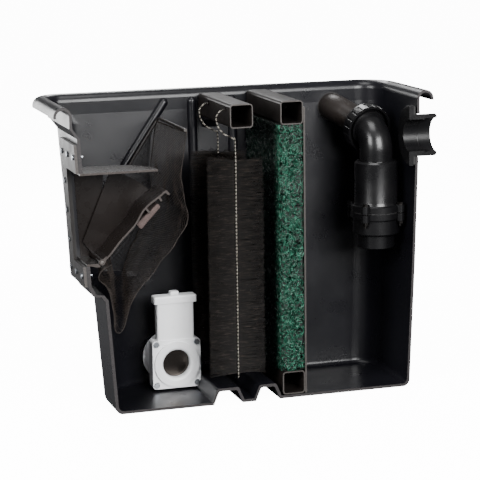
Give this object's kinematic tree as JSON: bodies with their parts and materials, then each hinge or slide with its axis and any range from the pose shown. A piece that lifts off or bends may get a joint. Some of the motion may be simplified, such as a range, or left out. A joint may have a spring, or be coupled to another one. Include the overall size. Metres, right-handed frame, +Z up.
{
  "type": "pond skimmer filter box",
  "caption": "Cut-away pond skimmer filter box: floating weir, leaf net, hanging brushes, filter mat, pump outlet with check valve, overflow and drain gate valve.",
  "frame": {"origin": "centre of the bounding box's bottom face, on the floor's underside", "axes": "+X along the box from the inlet mouth to the overflow, +Y from the cut plane to the back wall, +Z up"},
  "size_m": [0.6672, 0.2216, 0.5195],
  "materials": {
    "shell_black": "satin",
    "fitting_black": "gloss",
    "throat_grey": "satin",
    "white_pvc": "satin",
    "steel": "brushed",
    "wire": "satin",
    "rubber": "matte",
    "foam": "matte",
    "net": "matte",
    "bristle": "matte",
    "mat_green": "matte",
    "fixing": "satin"
  },
  "bodies": {
    "tank": {"tank_shell": "shell_black", "mouth_face_plate": "shell_black", "face_plate_gasket": "rubber", "face_plate_screws": "fixing", "mouth_throat": "throat_grey", "weir_hinge_pin": "steel", "net_frame": "fitting_black", "net_bag": "net", "outlet_pipe": "fitting_black", "outlet_wall_seal": "rubber", "union_nut": "fitting_black", "union_tail": "fitting_black", "outlet_elbow": "fitting_black", "check_valve_upper_body": "fitting_black", "check_valve_lower_body": "fitting_black", "check_valve_gasket": "rubber", "pump_socket": "fitting_black", "flap_pin": "steel", "clamp_bolts": "fixing", "clamp_nuts": "fixing", "overflow_bulkhead": "fitting_black", "overflow_gasket": "rubber", "drain_valve_front_body": "white_pvc", "drain_valve_rear_body": "white_pvc", "drain_valve_bonnet": "white_pvc", "bonnet_cap": "white_pvc", "gate_seals": "rubber", "drain_valve_bolts": "fixing", "drain_valve_nuts": "fixing", "drain_bulkhead": "white_pvc", "drain_gasket": "rubber", "drain_nut": "white_pvc"},
    "weir": {"weir_door": "throat_grey", "weir_float": "foam"},
    "brush_rack": {"brush_rack_tube": "shell_black"},
    "near_brush": {"near_brush_wire": "wire", "near_brush_bristles": "bristle"},
    "far_brush": {"far_brush_wire": "wire", "far_brush_bristles": "bristle"},
    "mat_frame": {"mat_frame_top_tube": "shell_black", "mat_frame_bottom_tube": "shell_black", "filter_mat": "mat_green", "mat_backing_panel": "shell_black", "panel_rivets": "shell_black"},
    "gate": {"gate_blade": "steel", "gate_stem": "steel", "gate_grip": "white_pvc"},
    "flap": {"check_valve_flap": "fitting_black"}
  },
  "joints": [
    {"name": "weir_hinge", "type": "hinge", "parent": "tank", "child": "weir", "pos_m": [-0.26, -0.07675, 0.262], "axis": [0, 1, 0], "range_deg": [-18, 13]},
    {"name": "rack_lift", "type": "slide", "parent": "tank", "child": "brush_rack", "axis": [0, 0, 1], "range_m": [0, 0.5]},
    {"name": "near_brush_swing", "type": "hinge", "parent": "brush_rack", "child": "near_brush", "pos_m": [-0.037, -0.08655, 0.5], "axis": [0, 1, 0], "range_deg": [-3, 3]},
    {"name": "far_brush_swing", "type": "hinge", "parent": "brush_rack", "child": "far_brush", "pos_m": [-0.037, 0.01395, 0.5], "axis": [0, 1, 0], "range_deg": [-3, 0]},
    {"name": "frame_lift", "type": "slide", "parent": "tank", "child": "mat_frame", "axis": [0, 0, 1], "range_m": [0, 0.52]},
    {"name": "gate_slide", "type": "slide", "parent": "tank", "child": "gate", "axis": [0, 0, 1], "range_m": [0, 0.052]},
    {"name": "flap_hinge", "type": "hinge", "parent": "tank", "child": "flap", "pos_m": [0.2184, -0.04475, 0.3065], "axis": [0, -1, 0], "range_deg": [0, 55]}
  ]
}
